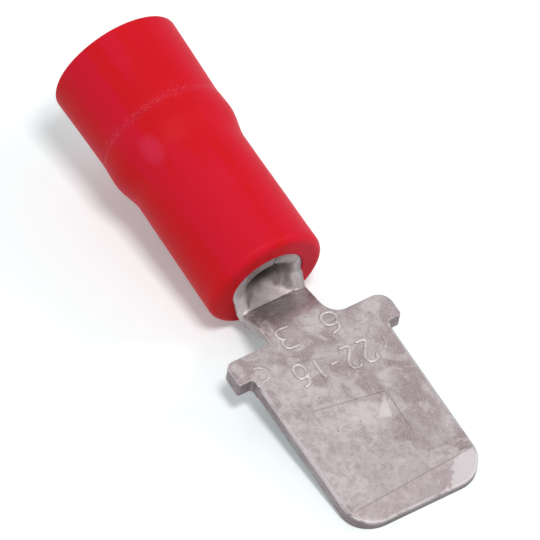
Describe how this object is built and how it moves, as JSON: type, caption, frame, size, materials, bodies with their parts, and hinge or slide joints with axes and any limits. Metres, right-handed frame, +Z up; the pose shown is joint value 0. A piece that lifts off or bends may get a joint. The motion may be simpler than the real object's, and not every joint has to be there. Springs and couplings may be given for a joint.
{
  "type": "insulated male spade terminal",
  "caption": "Insulated male spade terminal: a flat metal tab with shoulders on a rolled crimp barrel, inside a flared red plastic sleeve.",
  "frame": {"origin": "middle of the base of the bounding box, on the level floor that the terminal lies on", "axes": "+X along the length from the sleeve's open end to the blade's tip, as seen from above; +Y across the blade; +Z up. The terminal lies on the sleeve's front rim and the blade's tip, so the blade dips towards +X by about 11 degrees"},
  "size_m": [0.0244, 0.0076, 0.0077],
  "materials": {
    "tinned_metal": "dull tin plate over brass, finely scratched",
    "red_vinyl": "satin soft vinyl"
  },
  "bodies": {
    "root": {"terminal": "tinned_metal", "insulating_sleeve": "red_vinyl"}
  },
  "joints": []
}
